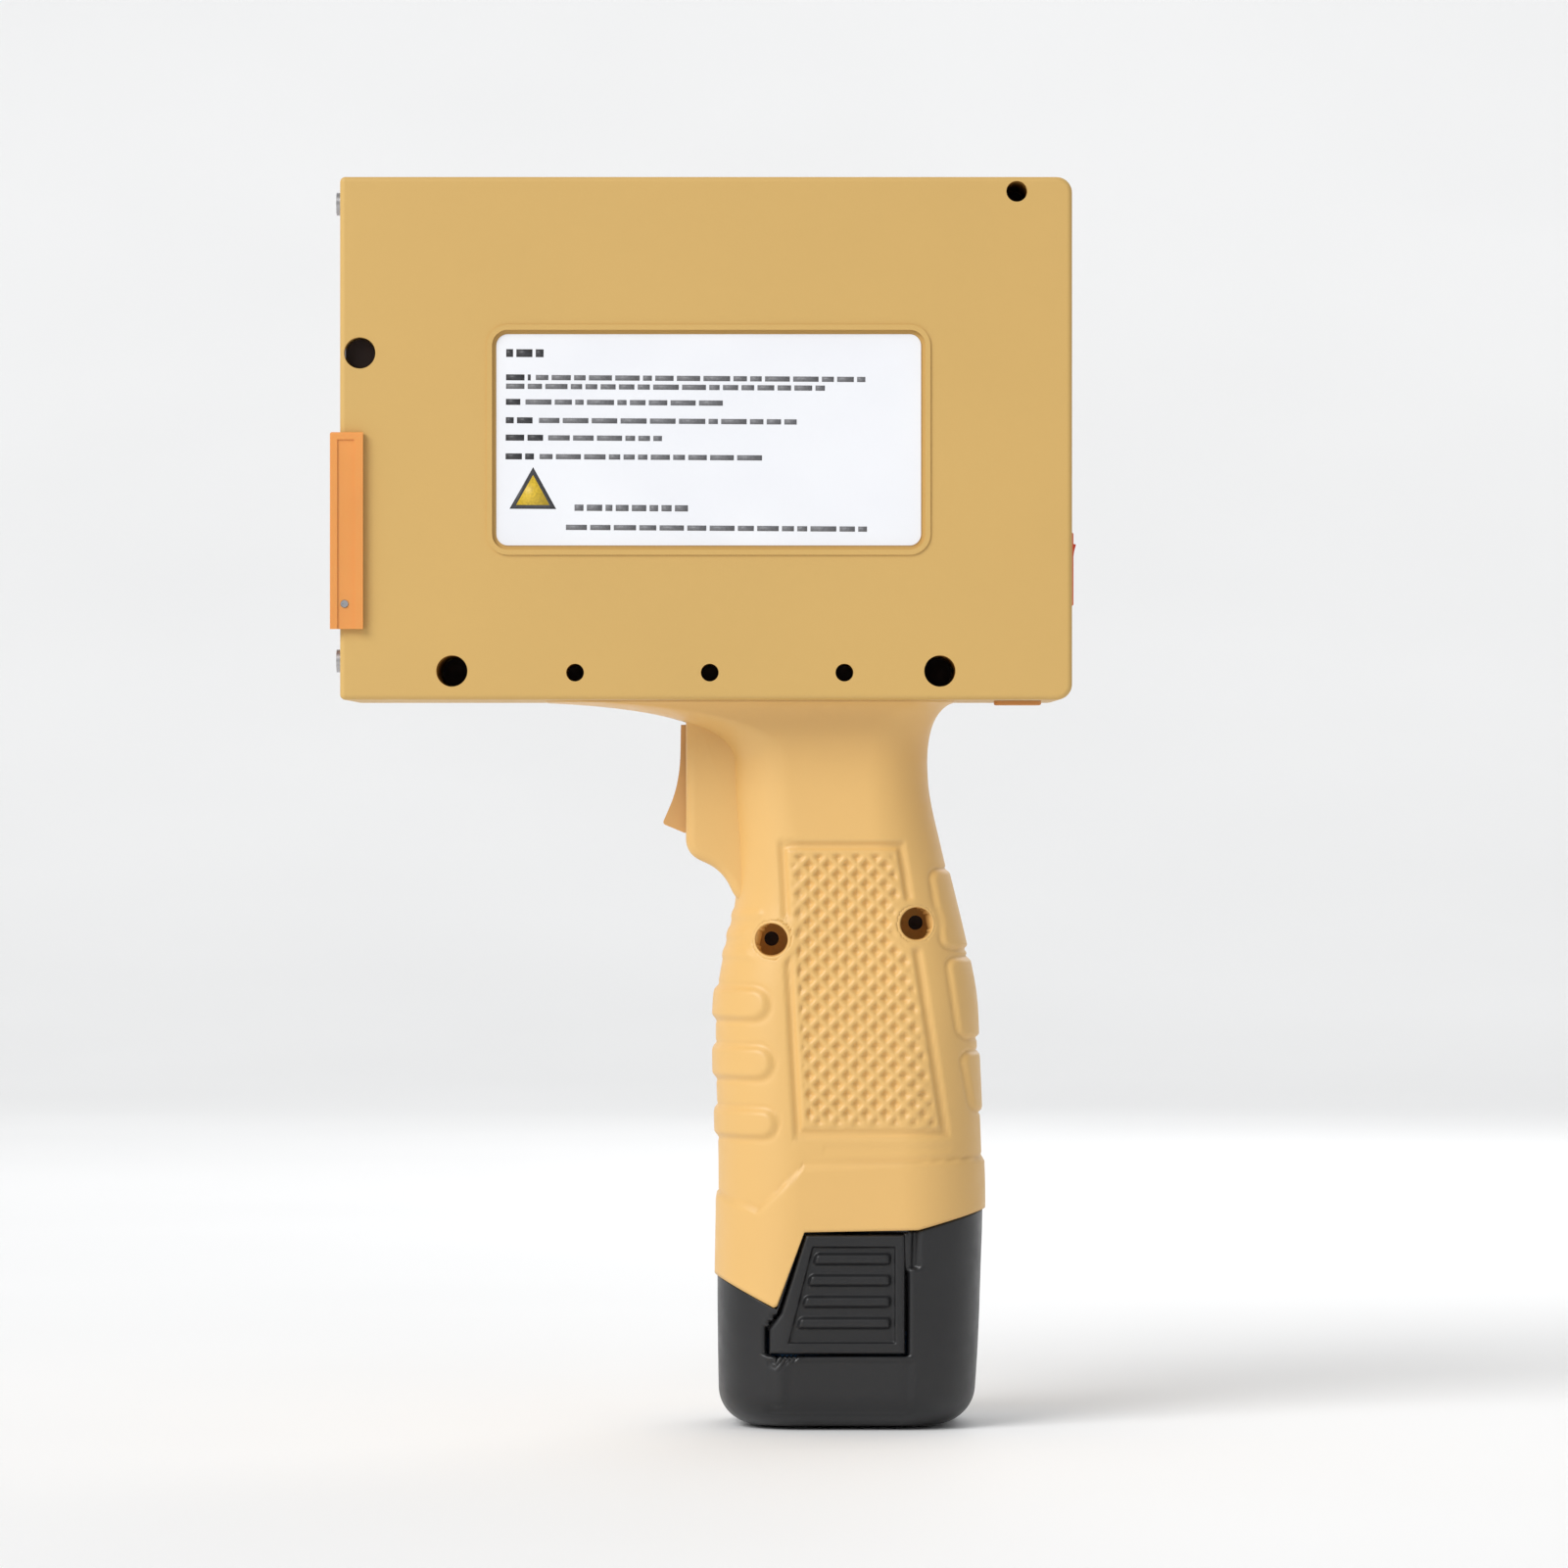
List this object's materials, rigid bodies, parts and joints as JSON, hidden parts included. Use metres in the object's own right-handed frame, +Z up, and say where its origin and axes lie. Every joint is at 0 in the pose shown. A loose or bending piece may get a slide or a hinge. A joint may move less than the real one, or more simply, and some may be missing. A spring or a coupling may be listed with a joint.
{
  "type": "date code inkjet printer",
  "caption": "Handheld date code inkjet printer: flat print head housing on a pistol grip, with a trigger, cartridge door, encoder wheel and slide-on battery.",
  "frame": {"origin": "under the middle of the object, on the surface its battery stands on", "axes": "+Z up; -X towards the printing face, +X towards the back; -Y the label side, +Y the touch screen side"},
  "size_m": [0.1432, 0.0612, 0.24],
  "materials": {
    "ochre_shell": "satin moulded",
    "grip_plastic": "satin moulded",
    "label_paper": "smooth",
    "screen_glass": "gloss",
    "display": "gloss",
    "circuit_board": "satin",
    "chip_black": "satin",
    "screw_steel": "plated",
    "face_aluminium": "brushed",
    "coil_core": "matte",
    "capacitor_can": "sleeved",
    "cartridge_black": "satin",
    "nozzle_gold": "polished",
    "cradle_grey": "satin",
    "door_orange": "satin",
    "wheel_hub": "satin",
    "wheel_rubber": "matte",
    "switch_black": "satin",
    "rocker_red": "gloss",
    "light_lens": "translucent",
    "plug_rubber": "matte",
    "trigger_orange": "satin",
    "lead_sleeve": "matte",
    "contact_brass": "polished",
    "battery_black": "semi gloss",
    "cell_can": "sleeved"
  },
  "bodies": {
    "root": {"label_side_shell": "ochre_shell", "screen_side_shell": "ochre_shell", "rating_label": "label_paper", "touch_glass": "screen_glass", "lcd_module": "display", "main_board": "circuit_board", "board_chips": "chip_black", "board_screws": "screw_steel", "power_board": "circuit_board", "booster_coil": "coil_core", "capacitors": "capacitor_can", "power_screws": "screw_steel", "case_screws": "screw_steel", "flange_screws": "screw_steel", "ink_cartridge": "cartridge_black", "nozzle_plate": "nozzle_gold", "cartridge_contacts": "nozzle_gold", "cartridge_cradle": "cradle_grey", "cradle_screw": "screw_steel", "contact_block": "cradle_grey", "contact_pins": "contact_brass", "front_plate": "face_aluminium", "plate_screws": "screw_steel", "door_pins": "screw_steel", "encoder_bracket": "cradle_grey", "encoder_sensor": "circuit_board", "switch_body": "switch_black", "charge_light": "light_lens", "charging_socket": "switch_black", "grip_label_side": "grip_plastic", "grip_screen_side": "grip_plastic", "grip_screws": "screw_steel", "trigger_pin": "screw_steel", "trigger_switch": "switch_black", "trigger_spring": "screw_steel", "battery_contact_block": "cradle_grey", "battery_contacts": "contact_brass", "battery_leads": "lead_sleeve"},
    "door": {"cartridge_door": "door_orange"},
    "encoder_wheel": {"encoder_hub": "wheel_hub", "encoder_tyre": "wheel_rubber", "encoder_axle": "screw_steel", "encoder_magnet": "screw_steel"},
    "rocker": {"rocker": "rocker_red"},
    "dust_plug": {"dust_plug": "plug_rubber"},
    "trigger": {"trigger": "trigger_orange"},
    "plunger": {"switch_plunger": "rocker_red"},
    "battery": {"battery_case": "battery_black", "battery_stem": "battery_black", "battery_cells": "cell_can", "cell_tabs": "screw_steel", "pack_board": "circuit_board", "battery_terminals": "contact_brass", "latch_spring_label_side": "screw_steel", "latch_spring_screen_side": "screw_steel"},
    "latch_label": {"latch_label_side": "battery_black"},
    "latch_screen": {"latch_screen_side": "battery_black"}
  },
  "joints": [
    {"name": "door_hinge", "type": "hinge", "parent": "root", "child": "door", "pos_m": [-0.06865, 0, 0.1583], "axis": [0, -1, 0], "range_deg": [0, 100]},
    {"name": "encoder_spin", "type": "hinge", "parent": "root", "child": "encoder_wheel", "pos_m": [-0.0651, 0.0185, 0.172], "axis": [0, 0, 1], "continuous": true},
    {"name": "rocker_tilt", "type": "hinge", "parent": "root", "child": "rocker", "pos_m": [0.0668, -0.012, 0.1653], "axis": [0, -1, 0], "range_deg": [0, 16]},
    {"name": "plug_pull", "type": "slide", "parent": "root", "child": "dust_plug", "axis": [0, 0, -1], "range_m": [0, 0.012]},
    {"name": "trigger_pull", "type": "hinge", "parent": "root", "child": "trigger", "pos_m": [0.0003, 0, 0.1324], "axis": [0, -1, 0], "range_deg": [0, 11], "stiffness_Nm_per_rad": 0.15, "springref_deg": -8.59, "deforming": ["trigger_spring"]},
    {"name": "plunger_press", "type": "slide", "parent": "root", "child": "plunger", "axis": [1, 0, 0], "range_m": [0, 0.0024]},
    {"name": "battery_slide", "type": "slide", "parent": "root", "child": "battery", "axis": [0, 0, -1], "range_m": [0, 0.075]},
    {"name": "latch_press_label", "type": "slide", "parent": "battery", "child": "latch_label", "axis": [0, 1, 0], "range_m": [0, 0.0015], "stiffness_N_per_m": 600, "springref_m": -0.0006, "deforming": ["latch_spring_label_side"]},
    {"name": "latch_press_screen", "type": "slide", "parent": "battery", "child": "latch_screen", "axis": [0, -1, 0], "range_m": [0, 0.0015], "stiffness_N_per_m": 600, "springref_m": -0.0006, "deforming": ["latch_spring_screen_side"]}
  ],
  "couplings": [
    {"joint": "plunger_press", "follows": "trigger_pull", "m_per_rad": 0.0116}
  ]
}
